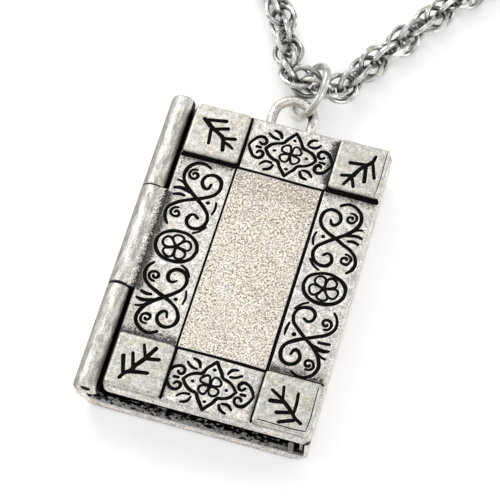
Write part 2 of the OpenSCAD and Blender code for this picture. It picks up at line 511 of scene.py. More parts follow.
def silver(name, look):
    # cast or drawn silver plate, with patina in its corners and bright worn edges
    base = silverBase
    material, tree = newMaterial(name)
    shader = setShader(tree, {"Metallic": 1.0})
    coords = tree.nodes.new("ShaderNodeTexCoord")
    pits = noiseNode(tree, coords, look["pitsPerMetre"], 3, 0.7)
    holes = pitted(tree, coords, look, pits)
    color = mixColor(tree, holes, tinted(tree, coords, look, pits), look["pitColor"])
    color = masked(tree, coords, look, color)
    hidden = tree.nodes.new("ShaderNodeAmbientOcclusion")
    hidden.samples = base["hiddenSamples"]
    hidden.inputs["Distance"].default_value = look["patinaReach"] * mm
    lit = mathNode(tree, "ADD", hidden.outputs["AO"], ragged(tree, pits, look["ragged"]))
    patina = rampNode(tree, lit, look["patinaFull"], look["patinaEdge"], look["patinaShare"], 0.0)
    color = mixColor(tree, patina, color, look["patinaColor"])
    worn = tree.nodes.new("ShaderNodeBevel")
    worn.samples = base["wornSamples"]
    worn.inputs["Radius"].default_value = look["wearReach"] * mm
    geometry = tree.nodes.new("ShaderNodeNewGeometry")
    facing = tree.nodes.new("ShaderNodeVectorMath")
    facing.operation = "DOT_PRODUCT"
    tree.links.new(worn.outputs[0], facing.inputs[0])
    tree.links.new(geometry.outputs["Normal"], facing.inputs[1])
    edge = rampNode(tree, facing.outputs["Value"], *base["wornTurn"])
    edge = times(tree, edge, mathNode(tree, "SUBTRACT", 1.0, patina))
    color = mixColor(tree, times(tree, edge, look["wearShare"]), color, look["wearColor"])
    tree.links.new(color, shader.inputs["Base Color"])
    grain = noiseNode(tree, coords, look["grainPerMetre"], 3, 0.6, look.get("stretch"))
    rough, spread = look["roughness"], base["glossSpread"]
    gloss = rampNode(tree, grain, *base["glossMiddle"], rough - spread, rough + spread)
    gloss = mathNode(tree, "ADD", gloss, times(tree, patina, base["patinaGloss"]))
    tree.links.new(gloss, shader.inputs["Roughness"])
    bump = tree.nodes.new("ShaderNodeBump")
    bump.inputs["Strength"].default_value = look["bump"]
    bump.inputs["Distance"].default_value = base["bumpHeight"] * mm
    tree.links.new(mathNode(tree, "SUBTRACT", grain, holes), bump.inputs["Height"])
    tree.links.new(worn.outputs[0], bump.inputs["Normal"])
    tree.links.new(bump.outputs[0], shader.inputs["Normal"])
    return material


castLook = {
    "dark": (0.55, 0.525, 0.505),
    "light": (0.84, 0.81, 0.77),
    "warm": (1.02, 1.0, 0.95),
    "cool": (0.985, 0.985, 1.0),
    "blotchPerMetre": 1300,
    "blotchSoft": 0.16,
    "speckle": 0.32,
    "pitsPerMetre": 6500,
    "pitEdge": 0.42,
    "pitShare": 0.7,
    "pitColor": (0.12, 0.10, 0.095),
    "patinaReach": 0.5,
    "patinaFull": 0.55,
    "patinaEdge": 0.95,
    "patinaShare": 0.97,
    "ragged": 0.35,
    "patinaColor": (0.03, 0.026, 0.026),
    "masks": [],  # each one is a mask, its share, how ragged its edge is, and its color
    "spotsPerMetre": 6500,
    "wearReach": 0.12,
    "wearShare": 0.75,
    "wearColor": (0.93, 0.91, 0.87),
    "grainPerMetre": 8000,
    "roughness": 0.42,
    "bump": 0.5,
}
# the borders' dark mask is dirt with painted shade at the plates' feet and by the barrel
borderLook = {**castLook, "masks": [(feetMask, 0.95, 2.6, (0.022, 0.018, 0.02))]}
panelLook = {
    **castLook,
    "dark": (0.66, 0.62, 0.545),
    "light": (0.74, 0.70, 0.62),
    "warm": (1.02, 1.0, 0.97),
    "cool": (0.99, 0.99, 1.0),
    "blotchPerMetre": 350,
    "speckle": 0.44,
    "pitsPerMetre": 5600,
    "pitEdge": 0.46,
    "pitShare": 0.97,
    "pitColor": (0.11, 0.085, 0.07),
    "patinaShare": 0.5,
    "masks": [(spanMask("Y", 1, 15), 0.4, 3.0, (0.22, 0.18, 0.15))],  # darker spots, more of them towards the top
    "spotsPerMetre": 3800,
    "roughness": 0.5,
}
plateLook = {
    **castLook,
    "dark": (0.49, 0.475, 0.44),
    "light": (0.73, 0.715, 0.68),
    "warm": (1.03, 1.0, 0.91),
    "blotchPerMetre": 1700,
    "speckle": 0.22,
    "pitEdge": 0.40,
    "pitShare": 0.6,
    "roughness": 0.4,
}
barrelLook = {
    **castLook,
    "dark": (0.46, 0.44, 0.41),
    "light": (0.84, 0.83, 0.80),
    "blotchPerMetre": 3200,
    "stretch": (1, 0.22, 1),
    "speckle": 0.2,
    "pitEdge": 0.4,
    "pitShare": 0.6,
    "patinaReach": 0.22,
    "patinaShare": 0.7,
    "roughness": 0.54,
    # painted shade: the barrel's outer side is darker
    "shadedSide": (-11.75, -12.4),
    # painted shade in the gap between the barrel and the cover
    "masks": [(gapMask, 0.98, 0.8, (0.006, 0.005, 0.005))],
}
# painted shade at the middle knuckle's gap and its lower joint
middleLook = {**barrelLook, "masks": [(gapMask, 0.9, 3.5, (0.04, 0.035, 0.035))]}
webLook = {
    **castLook,
    "dark": (0.46, 0.44, 0.42),
    "light": (0.80, 0.78, 0.75),
    "pitShare": 0.8,
    "masks": [(spanMask("X", -10.55, -9.7), 0.97, 4.2, (0.015, 0.013, 0.013))],  # painted shade under the cover
    "spotsPerMetre": 6800,
    "roughness": 0.5,
}
# painted shade: a dark copy of the cast silver for the catch rib and the lip, which lie in shade
# in the open end
catchLook = {
    **castLook,
    "dark": (0.10, 0.095, 0.09),
    "light": (0.34, 0.325, 0.31),
    "blotchPerMetre": 2600,
    "pitShare": 0.8,
    "wearShare": 0.35,
}
# the inside: dark antique grey, and painted shade that turns it near black wherever the hollow is
# deep
insideLook = {
    **castLook,
    "dark": (0.07, 0.066, 0.062),
    "light": (0.22, 0.209, 0.198),
    "blotchPerMetre": 900,
    "pitsPerMetre": 3600,
    "pitShare": 0.6,
    "pitColor": (0.02, 0.018, 0.018),
    "patinaReach": 5.0,
    "patinaFull": 0.6,
    "patinaShare": 1.0,
    "patinaColor": (0.003, 0.0025, 0.0025),
    "wearShare": 0.25,
    "roughness": 0.5,
}
floorLook = {
    **insideLook,
    "pitsPerMetre": 2700,
    "patinaFull": 0.05,
    "patinaEdge": 0.5,
    "patinaShare": 0.85,
    "masks": [
        (spanMask("Y", -9, -17), 0.99, 1.2, (0.003, 0.0025, 0.0025)),  # painted shade: near black towards the open end
        # painted light: the rough metal at the open end's rim, brightened as lit
        (rimMask, 1.0, 3.4, (1.0, 0.99, 0.96)),
    ],
    "spotsPerMetre": 3600,
    "spotStretch": (0.5, 1, 1),
}
ringLook = {
    **castLook,
    "dark": (0.55, 0.545, 0.53),
    "light": (0.76, 0.755, 0.73),
    "blotchPerMetre": 800,
    "speckle": 0.1,
    "pitShare": 0.15,
    "patinaReach": 0.4,
    "patinaShare": 0.6,
    "wearShare": 0.2,
    "roughness": 0.28,
    "bump": 0.2,
}
chainLook = {
    **castLook,
    "dark": (0.48, 0.48, 0.465),
    "light": (0.82, 0.82, 0.79),
    "blotchPerMetre": 900,
    "speckle": 0.1,
    "pitShare": 0.2,
    "patinaReach": 1.2,
    "patinaFull": 0.35,
    "patinaEdge": 0.92,
    "patinaShare": 0.95,
    "wearShare": 0.1,
    "roughness": 0.2,
    "bump": 0.15,
}
pinLook = {
    **castLook,
    "dark": (0.50, 0.49, 0.47),
    "light": (0.65, 0.64, 0.61),
    "blotchPerMetre": 900,
    "pitShare": 0.2,
    "patinaShare": 0.3,
    "roughness": 0.4,
    "bump": 0.15,
}
castSilver = silver("castSilver", castLook)
borderSilver = silver("borderSilver", borderLook)
panelSilver = silver("panelSilver", panelLook)
plateSilver = silver("plateSilver", plateLook)
barrelSilver = silver("barrelSilver", barrelLook)
middleSilver = silver("middleSilver", middleLook)
webSilver = silver("webSilver", webLook)
catchSilver = silver("catchSilver", catchLook)
insideSilver = silver("insideSilver", insideLook)
floorSilver = silver("floorSilver", floorLook)
ringSilver = silver("ringSilver", ringLook)
chainSilver = silver("chainSilver", chainLook)
pinSteel = silver("pinSteel", pinLook)

# The soot that blackens every engraved line; the same black is also painted shade in the grooves
# at the plates' feet and in the front cover's bore
sootAndShade = {
    "perMetre": 5200,
    "dark": (0.004, 0.0035, 0.0035),
    "light": (0.02, 0.018, 0.016),
    "middle": (0.4, 0.8),
    "roughness": 0.7,
    "specular": 0.06,
}
grooveBlack, tree = newMaterial("grooveBlack")
shader = setShader(tree, {"Roughness": sootAndShade["roughness"], "Specular IOR Level": sootAndShade["specular"]})
grains = noiseNode(tree, tree.nodes.new("ShaderNodeTexCoord"), sootAndShade["perMetre"], 3, 0.6)
shade = rampNode(tree, grains, *sootAndShade["middle"])
tree.links.new(mixColor(tree, shade, sootAndShade["dark"], sootAndShade["light"]), shader.inputs["Base Color"])
print("finishes are mixed")


# Hinge line shared by both covers. A rounding here and below is its width and its steps.
pinLow, pinHigh = nodeBox("hinge_pin")
plateTop = nodeBox("front_cover")[1].z
hinge = {
    "x": (pinLow.x + pinHigh.x) / 2,
    "z": (pinLow.z + pinHigh.z) / 2,
    "radius": 1.2,
    "bore": 0.48,
    "low": -15.8,
    "high": 16.3,
    "knuckle": (-5.05, 5.75),
    "gap": 0.1,
    "sweep": 1.32,
    "sides": 72,
    "boreSides": 32,
    "roundSteps": 4,
}


def hingeRod(name, radius, middle, length, sides):
    return rod(name, radius, (hinge["x"], middle, hinge["z"]), length, "Y", sides)


def knuckle(name, low, high, roundLow, roundHigh):
    tube = hingeRod(name, hinge["radius"], (low + high) / 2, high - low, hinge["sides"])
    for end, width in ((low, roundLow), (high, roundHigh)):
        roundEdges(tube, width, hinge["roundSteps"],
                   lambda mid, way: abs(mid.y - end) < close and crosses(way.y))
    return tube


def spiral(middle, outer, inner, start, turns):
    # points that wind inwards from the angle where it opens, nine to a turn
    steps = math.ceil(abs(turns) * 9)
    points = []
    for i in range(steps + 1):
        angle = math.radians(start + 360 * turns * i / steps)
        reach = outer + (inner - outer) * i / steps
        points.append((middle[0] + reach * math.cos(angle), middle[1] + reach * math.sin(angle)))
    return points


def petal(angle, length, width):
    # a closed drop that grows from the ornament's middle
    along = Vector((math.cos(math.radians(angle)), math.sin(math.radians(angle))))
    aside = Vector((-along.y, along.x))
    shape = [(0.08, 0), (0.45, 0.38), (0.8, 0.5), (1, 0), (0.8, -0.5), (0.45, -0.38), (0.08, 0)]
    return [tuple(along * length * u + aside * width * v) for u, v in shape]


# Strokes of the engraving: width in the middle, width at the ends, and the points on the way, in
# millimetres. The side strips' are measured from the strip's middle, towards the panel and along
# it, and are mirrored at its middle.
sideScrolls = [
    (0.42, 0.24, [(0.75, 8.95), (-0.05, 9.3), (-0.95, 9.05), (-1.55, 8.2), (-1.4, 7.15),
                  (-0.65, 6.2), (0.3, 5.4), (1.15, 4.75), (1.85, 3.9), (1.8, 2.9), (1.05, 2.3),
                  (0.25, 2.55), (0.05, 3.25), (0.5, 3.7), (1.0, 3.45)]),
    (0.42, 0.24, [(1.2, 7.3), (0.95, 6.75), (0.45, 7.0), (0.35, 7.7), (0.95, 8.3), (1.75, 8.15),
                  (2.15, 7.4), (1.95, 6.5), (1.2, 5.85), (0.3, 5.4), (-0.65, 4.95), (-1.5, 4.5),
                  (-2.1, 3.7), (-2.05, 2.75), (-1.6, 2.15)]),
    (0.34, 0.22, spiral((-0.62, 7.85), 0.62, 0.12, 75, 1.3)),
    (0.34, 0.22, spiral((-1.15, 3.45), 0.62, 0.12, 80, 1.3)),
    (0.5, 0.18, [(-0.35, 5.85), (-0.95, 6.1), (-1.6, 6.2), (-2.15, 6.05)]),
    (0.46, 0.18, [(-0.85, 5.45), (-1.4, 5.5), (-2.0, 5.35)]),
    (0.38, 0.18, [(-0.95, 6.35), (-1.4, 6.8), (-2.0, 6.95)]),
    (0.46, 0.38, [(1.4, 5.3), (1.5, 5.3)]),
    (0.36, 0.18, [(2.2, 5.6), (2.3, 4.9), (2.15, 4.2)]),
    (0.34, 0.2, [(0.95, 1.75), (1.55, 2.1), (2.05, 2.75)]),
]
rosette = [(2.0 * math.cos(a * math.pi / 6), 1.6 * math.sin(a * math.pi / 6)) for a in range(13)]
petalLengths = (1.2, 1.4, 1.35, 1.35, 1.4)
sideFlower = [(0.42, 0.4, rosette), (0.46, 0.4, [(-0.04, 0.0), (0.04, 0.0)])]
for k, length in enumerate(petalLengths):
    sideFlower.append((0.29, 0.24, petal(90 + 72 * k, length, 1.0)))
# The end borders' are measured from the ornament's middle and mirrored in the line through it
# along X.
endScrolls = [
    (0.40, 0.34, [(2.5, 0), (2.05, 0.6), (1.5, 0.9), (1.0, 1.05), (0.7, 1.55), (0.35, 2.0),
                  (0, 2.45)]),
    (0.40, 0.34, [(-2.5, 0), (-2.05, 0.6), (-1.5, 0.9), (-1.0, 1.05), (-0.7, 1.55),
                  (-0.35, 2.0), (0, 2.45)]),
    (0.40, 0.24, [(-4.15, 0.0), (-3.85, 0.6), (-3.3, 1.15), (-2.75, 1.1), (-2.6, 0.6),
                  (-2.95, 0.4), (-3.2, 0.65)]),
    (0.40, 0.24, [(4.15, 0.0), (3.85, 0.6), (3.3, 1.15), (2.75, 1.1), (2.6, 0.6), (2.95, 0.4),
                  (3.2, 0.65)]),
    (0.46, 0.18, [(-1.3, 1.5), (-1.55, 2.0), (-2.15, 2.25)]),
    (0.44, 0.18, [(-1.5, 1.35), (-2.1, 1.4), (-2.6, 1.8)]),
    (0.46, 0.18, [(1.3, 1.5), (1.55, 2.0), (2.15, 2.25)]),
    (0.44, 0.18, [(1.5, 1.35), (2.1, 1.4), (2.6, 1.8)]),
    (0.36, 0.32, [(-0.04, 1.65), (0.04, 1.65)]),
]
endFlower = [(0.28, 0.22, petal(45 + 90 * k, 1.1, 0.9)) for k in range(4)]
for side in (-1, 0, 1):
    endFlower.append((0.38, 0.34, [(side * 1.6 - 0.04, 0), (side * 1.6 + 0.04, 0)]))
for side in (-1, 1):
    endFlower.append((0.34, 0.2, [(side * 3.45, 0.0), (side * 2.9, 0.0)]))
# Each ornament's strokes, the place of its middle, and which way each copy is flipped
ornaments = [
    (sideScrolls, (-7.2, -0.1), [(1, 1), (1, -1)]),
    (sideFlower, (-7.3, -0.1), [(1, 1)]),
    (sideScrolls, (7.15, -0.5), [(-1, 1), (-1, -1)]),
    (sideFlower, (7.2, -0.5), [(-1, -1)]),
    (endScrolls + endFlower, (0.4, 12.5), [(1, 1)]),
    (endScrolls, (0.4, 12.5), [(1, -1)]),
    (endScrolls + endFlower, (-0.3, -12.95), [(1, 1)]),
    (endScrolls, (-0.3, -12.95), [(1, -1)]),
]
# Sprigs on the plates, in the cover's own millimetres: width, then the points of a stem or twig.
sprigs = [
    (0.38, [(-8.6, 13.75), (-8.0, 13.3), (-7.45, 12.95), (-6.85, 12.6), (-6.25, 12.1),
            (-6.1, 11.7), (-5.95, 10.85)]),
    (0.32, [(-8.25, 13.75), (-6.4, 14.1)]),
    (0.32, [(-7.35, 12.95), (-6.0, 13.3)]),
    (0.31, [(-6.35, 12.1), (-5.05, 12.35)]),
    (0.3, [(-6.05, 11.8), (-5.55, 11.55), (-5.05, 11.3)]),
    (0.28, [(-7.65, 12.9), (-7.45, 11.2)]),
    (0.36, [(8.4, 14.3), (8.25, 13.7), (7.75, 13.15), (7.35, 12.65), (6.95, 12.0), (6.6, 11.4),
            (6.15, 10.55)]),
    (0.31, [(7.75, 13.2), (6.1, 13.0)]),
    (0.31, [(8.25, 13.7), (8.55, 12.7), (8.8, 11.95)]),
    (0.31, [(7.75, 12.9), (7.95, 11.3)]),
    (0.31, [(6.95, 11.7), (5.7, 11.45)]),
    (0.3, [(6.8, 11.4), (7.1, 10.5)]),
    (0.38, [(-8.35, -14.65), (-8.05, -14.1), (-7.55, -13.7), (-7.3, -13.15), (-6.9, -12.55),
            (-6.55, -12.05), (-5.95, -10.9)]),
    (0.31, [(-8.15, -14.1), (-8.7, -12.4)]),
    (0.31, [(-7.45, -13.3), (-7.85, -11.95)]),
    (0.28, [(-6.65, -12.1), (-7.1, -10.9)]),
    (0.35, [(-7.55, -13.8), (-5.95, -13.5)]),
    (0.31, [(-6.75, -12.25), (-5.35, -12.0)]),
    (0.34, [(8.7, -14.45), (8.05, -14.0), (7.55, -13.55), (6.95, -13.0), (6.35, -12.5),
            (5.35, -11.95)]),
    (0.33, [(8.05, -14.25), (6.7, -14.85)]),
    (0.33, [(7.65, -13.65), (6.2, -13.95)]),
    (0.34, [(6.55, -12.85), (5.35, -13.0)]),
    (0.28, [(7.8, -13.7), (7.8, -12.7), (7.7, -11.65)]),
    (0.28, [(6.55, -12.8), (6.45, -12.1), (6.25, -11.3)]),
]
# Straight grooves of the cover: width, then the points on the way. The first four outline the
# panel;
# the rest are black lines along the plates' feet that paint the shade there, the widest ones at
# the feet of the top plates.
grooves = [
    (0.26, [(-4.3, -10.1), (-4.28, -3), (-4.2, 4), (-4.2, 9.7)]),
    (0.38, [(4.3, -10.1), (4.34, -3), (4.42, 4), (4.45, 9.6)]),
    (0.32, [(-4.3, -10.1), (-1, -10.07), (2, -10.12), (4.3, -10.1)]),
    (0.34, [(-4.2, 9.7), (-1, 9.66), (2, 9.6), (4.45, 9.6)]),
    (0.6, [(-4.25, 9.76), (-6.9, 9.76), (-9.6, 9.76)]),
    (0.6, [(4.75, 9.78), (6.9, 9.78), (9.6, 9.78)]),
    (0.22, [(-4.3, -10.06), (-6.9, -10.06), (-9.6, -10.06)]),
    (0.34, [(4.35, -10.03), (6.9, -10.03), (9.6, -10.03)]),
    (0.38, [(-4.14, 9.7), (-4.14, 12.6), (-4.14, 15.3)]),
    (0.22, [(4.66, 9.7), (4.66, 12.6), (4.66, 15.3)]),
    (0.38, [(-4.26, -10.1), (-4.26, -12.6), (-4.26, -15.3)]),
    (0.26, [(4.25, -10.1), (4.25, -12.6), (4.25, -15.3)]),
]
# Thin lines just inside the outer edges of the right plates.
plateLines = [
    (0.1, [(9.33, 10.2), (9.35, 12), (9.34, 14), (9.33, 15.1)]),
    (0.12, [(9.33, -15.0), (9.35, -14), (9.34, -12), (9.33, -10.6)]),
    (0.12, [(9.3, -15.1), (8, -15.12), (6, -15.1), (4.8, -15.1)]),
]

cover = {
    "width": 19.7,
    "height": 31.2,
    "thick": 1.3,
    "top": 5.3,
    "cornerRound": (0.75, 6),
    "edgeRound": (0.3, 4),
    "underRound": (0.1, 2),
    "rim": 0.2,
    "plates": {
        (-1, 1): (5.4, 5.5),
        (1, 1): (4.95, 5.45),
        (-1, -1): (5.3, 5.3),
        (1, -1): (5.35, 5.3),
    },
    "plateSunk": 0.4,
    "plateCorner": (0.34, 4),
    "plateEdge": (0.22, 4),
    "panel": (-4.25, 4.4, -10.1, 9.65),
    "panelSunk": 0.3,
    "panelLift": 0.03,
    "panelRound": (0.05, 2),
    "webStart": 0.2,
    "webEnd": 0.3,
    "webUnder": 0.1,
    "webDrop": 0.35,
    "knuckleRounds": (0.2, 0.1),
    "boreLength": 20,
    "lip": (0.9, 0.6),
    "lipEnds": (0.2, 1.1),
    "lipLow": 2,
    "lipSunk": 0.3,
    "lipRound": (0.1, 3),
    "sprigSwell": 1.35,
}


def placed(strokes, at, flips):
    # strokes moved to a place on the cover, once for each pair of flips
    result = []
    for flipX, flipY in flips:
        for wide, thin, points in strokes:
            moved = [(at[0] + flipX * x, at[1] + flipY * y) for x, y in points]
            result.append((wide, thin, moved))
    return result


# The hand that engraves. Its lengths are in millimetres.
hand = {
    "steps": 5,
    "sides": 2,
    "overrun": 0.45,  # how far a stroke runs past its end points, in end widths
    "tip": 0.2,
    "rise": 2.5,  # points that a long stroke takes to its full width
    "longStroke": 4,
    "stray": 0.08,
    "shakePerMm": 2.3,
    "driftPerMm": 1.9,
    "seeds": (3.1, 7.7),
    "press": 0.92,
    "pressShake": 0.32,
    "merge": 0.0005,
}


def graver(name, strokes, surface):
    # round tools along the strokes, half sunk in a surface, as one closed mesh
    bpy.ops.curve.primitive_bezier_curve_add(location=(0, 0, 0))
    tool = named(name)
    curve = tool.data
    curve.splines.clear()
    curve.dimensions = "3D"
    curve.bevel_depth = 1
    curve.bevel_resolution = hand["sides"]
    curve.resolution_u = hand["steps"]
    curve.use_fill_caps = True
    fine, coarse = hand["shakePerMm"], hand["driftPerMm"]
    for wide, thin, points in strokes:
        first, last = Vector(points[0]), Vector(points[-1])
        startTip = first - (Vector(points[1]) - first).normalized() * thin * hand["overrun"]
        endTip = last + (last - Vector(points[-2])).normalized() * thin * hand["overrun"]
        run = [startTip, *map(Vector, points), endTip]
        spline = curve.splines.new("BEZIER")
        spline.bezier_points.add(len(run) - 1)
        for i, (knot, point) in enumerate(zip(spline.bezier_points, run)):
            shake = noise.noise(Vector((point.x * fine, point.y * fine, hand["seeds"][0])))
            drift = noise.noise(Vector((point.y * coarse, hand["seeds"][1], point.x * coarse)))
            knot.co = (point.x + hand["stray"] * shake, point.y + hand["stray"] * drift, surface)
            knot.handle_left_type = knot.handle_right_type = "AUTO"
            share = 1
            if len(run) > hand["longStroke"]:
                share = min(1, min(i, len(run) - 1 - i) / hand["rise"])
            press = hand["press"] + hand["pressShake"] * shake
            knot.radius = (thin + (wide - thin) * share) / 2 * press
        for end in (0, -1):
            spline.bezier_points[end].radius = thin * hand["tip"]
    pick(tool)
    bpy.ops.object.convert(target="MESH")
    editAll(tool)
    bpy.ops.mesh.remove_doubles(threshold=hand["merge"])
    faceOutwards()
    return tool


def makeFrontCover():
    halfX, halfY, top = cover["width"] / 2, cover["height"] / 2, cover["top"]
    bottom = top - cover["thick"]
    obj = block("front_cover_cast", (-halfX, -halfY, bottom), (halfX, halfY, top))
    roundEdges(obj, *cover["cornerRound"], lambda mid, way: runs(way.z))
    roundEdges(obj, *cover["edgeRound"], lambda mid, way: mid.z > top - close)
    roundEdges(obj, *cover["underRound"], lambda mid, way: mid.z < bottom + close)
    paint(obj, borderSilver)
    left, right, low, high = cover["panel"]
    panel = block("panel", (left, low, top - cover["panelSunk"]),
                  (right, high, top + cover["panelLift"]))
    roundEdges(panel, *cover["panelRound"], lambda mid, way: mid.z > top)
    join(obj, panel, panelSilver)
    for (x, y), (wide, tall) in cover["plates"].items():
        outX, outY = x * (halfX - cover["rim"]), y * (halfY - cover["rim"])
        xs, ys = sorted((outX, outX - x * wide)), sorted((outY, outY - y * tall))
        plate = block("plate", (xs[0], ys[0], top - cover["plateSunk"]), (xs[1], ys[1], plateTop))
        roundEdges(plate, *cover["plateCorner"], lambda mid, way: runs(way.z))
        roundEdges(plate, *cover["plateEdge"], lambda mid, way: mid.z > plateTop - close)
        join(obj, plate, plateSilver)
    # the web to the barrel, the barrel's middle knuckle, and the lip that closes inside the wall
    low, high = hinge["knuckle"]
    webLeft = hinge["x"] + hinge["bore"] + cover["webStart"]
    web = block("web", (webLeft, low, bottom + cover["webUnder"]),
                (-halfX + cover["webEnd"], high, top - cover["webDrop"]))
    join(obj, web, webSilver)
    join(obj, knuckle("middleKnuckle", low, high, *cover["knuckleRounds"]), middleSilver)
    bore = hingeRod("bore", hinge["bore"], (low + high) / 2, cover["boreLength"],
                    hinge["boreSides"])
    # painted shade: the bore is black inside
    cut(obj, bore, grooveBlack)
    inner, outer = cover["lip"]
    near, far = cover["lipEnds"]
    lip = block("lip", (halfX - inner, -halfY + near, cover["lipLow"]),
                (halfX - outer, halfY - far, bottom + cover["lipSunk"]))
    roundEdges(lip, *cover["lipRound"], lambda mid, way: mid.z < cover["lipLow"] + close)
    join(obj, lip, catchSilver)
    # engraving of the borders, then the sprigs on the plates
    strokes = []
    for drawing, at, flips in ornaments:
        strokes += placed(drawing, at, flips)
    strokes += [(wide, wide, points) for wide, points in grooves]
    cut(obj, graver("borderTool", strokes, top), grooveBlack, True)
    strokes = [(wide * cover["sprigSwell"], wide, points) for wide, points in sprigs]
    strokes += [(wide, wide, points) for wide, points in plateLines]
    cut(obj, graver("sprigTool", strokes, plateTop), grooveBlack, True)
    dropFolds(obj)
    bringDown(obj, "cover", "aged_silver", "front_cover")


back = {
    "rim": 3.95,
    "thick": 1.1,
    "sideWall": 0.4,
    "endWall": 0.8,
    "spineBend": (2.6, 14),
    "sideBend": (1.7, 10),
    "endRound": (0.14, 3),
    "spineHollow": (1.5, 10),
    "sideHollow": (0.5, 5),
    "past": 2,  # how far the hollow's tool runs past the open end and the rim
    "rib": (1.9, 1.45, 3.5),
    "ribRound": (0.1, 2),
    "upperRounds": (0.1, 0.45),
    "lowerRounds": (0.12, 0.1),
    "boreLength": 40,
    "bail": (-0.75, 18.05, 2.6),
    "bailRadius": 2.01,
    "bailWire": 0.51,
    "bailFoot": 15.2,
    "bailSteps": 64,
    "bailSides": 20,
}


def roundBottom(obj, bottom, spine, side):
    # the two long edges at the bottom, the spine's and the other side's
    roundEdges(obj, *spine, lambda mid, way: mid.z < bottom + close and runs(way.y) and mid.x < 0)
    roundEdges(obj, *side, lambda mid, way: mid.z < bottom + close and runs(way.y) and mid.x > 0)


def makeBackCover():
    right, end, rim, thick = cover["width"] / 2, cover["height"] / 2, back["rim"], back["thick"]
    left = hinge["x"] - hinge["radius"]
    obj = block("back_cover_cast", (left, -end, 0), (right, end, rim))
    roundBottom(obj, 0, back["spineBend"], back["sideBend"])
    roundEdges(obj, *back["endRound"],
               lambda mid, way: abs(mid.y) > end - close and mid.z < rim - close)
    paint(obj, castSilver)
    hollow = block("hollow", (left + thick, -end - back["past"], thick),
                   (right - back["sideWall"], end - back["endWall"], rim + back["past"]))
    roundBottom(hollow, thick, back["spineHollow"], back["sideHollow"])
    cut(obj, hollow, floorSilver)
    ribFar, ribNear, ribTop = back["rib"]
    rib = block("rib", (right - ribFar, -end, thick / 2),
                (right - ribNear, end - back["endWall"] / 2, ribTop))
    roundEdges(rib, *back["ribRound"], lambda mid, way: mid.z > ribTop - close)
    join(obj, rib, catchSilver)
    low, high = hinge["knuckle"][0] - hinge["gap"], hinge["knuckle"][1] + hinge["gap"]
    sweep = hingeRod("sweep", hinge["sweep"], (low + high) / 2, high - low, hinge["sides"])
    cut(obj, sweep, insideSilver)
    join(obj, knuckle("upperKnuckle", high, hinge["high"], *back["upperRounds"]), barrelSilver)
    join(obj, knuckle("lowerKnuckle", hinge["low"], low, *back["lowerRounds"]), barrelSilver)
    bore = hingeRod("bore", hinge["bore"], 0, back["boreLength"], hinge["boreSides"])
    cut(obj, bore, castSilver)
    join(obj, makeBail(), castSilver)
    bringDown(obj, "base", "aged_silver", "back_cover")


def makeBail():
    # half a torus, with its two ends drawn on into the end wall
    x, y, z = back["bail"]
    foot = back["bailFoot"]
    bail = torus("bail", back["bailRadius"], back["bailWire"], back["bailSteps"],
                 back["bailSides"], (x, y, z))
    editAll(bail)
    bpy.ops.mesh.bisect(plane_co=(x, y, z), plane_no=(0, 1, 0), clear_inner=True)
    chooseEdges(bail, lambda mid, way: abs(mid.y - y) < close and crosses(way.y))
    bpy.ops.mesh.extrude_region_move(TRANSFORM_OT_translate={"value": (0, foot - y, 0)})
    bpy.ops.object.mode_set(mode="OBJECT")
    for side in (-1, 1):
        chooseEdges(bail, lambda mid, way: abs(mid.y - foot) < close and side * (mid.x - x) > 0)
        bpy.ops.mesh.edge_face_add()
        bpy.ops.object.mode_set(mode="OBJECT")
    editAll(bail)
    faceOutwards()
    return bail


pin = {
    "radius": (pinHigh.x - pinLow.x) / 2,
    "sides": 32,
    "round": (0.15, 4),
}


def makePin():
    obj = hingeRod("hinge_pin_wire", pin["radius"], (pinLow.y + pinHigh.y) / 2,
                   pinHigh.y - pinLow.y, pin["sides"])
    roundEdges(obj, *pin["round"], lambda mid, way: crosses(way.y))
    paint(obj, pinSteel)
    bringDown(obj, "base", "pin_steel", "hinge_pin")


ring = {
    "centre": (0.12, 21.32, 2.898),
    "radius": 2.85,
    "wire": 0.4,
    "sides": 20,
    "steps": 80,
    "lean": 30,
    "turn": 2,
    "slit": 1.5,
    "slitAt": 150,
}


def makeJumpRing():
    # the wire's round end is spun about the ring's middle, short of a full turn by the slit
    bpy.ops.mesh.primitive_circle_add(vertices=ring["sides"], radius=ring["wire"],
                                      fill_type="NGON", location=(ring["radius"], 0, 0),
                                      rotation=(math.pi / 2, 0, 0))
    obj = settle(named("jump_ring_wire"))
    editAll(obj)
    bpy.ops.mesh.spin(steps=ring["steps"], angle=math.radians(360 - ring["slit"]),
                      center=(0, 0, 0), axis=(0, 0, 1))
    faceOutwards()
    obj.matrix_world = (Matrix.Translation(ring["centre"])
                        @ Matrix.Rotation(math.radians(ring["turn"]), 4, "Z")
                        @ Matrix.Rotation(math.radians(90 + ring["lean"]), 4, "Y")
                        @ Matrix.Rotation(math.radians(ring["slitAt"]), 4, "Z"))
    settle(obj)
    paint(obj, ringSilver)
    bringDown(obj, "base", "ring_silver", "jump_ring")


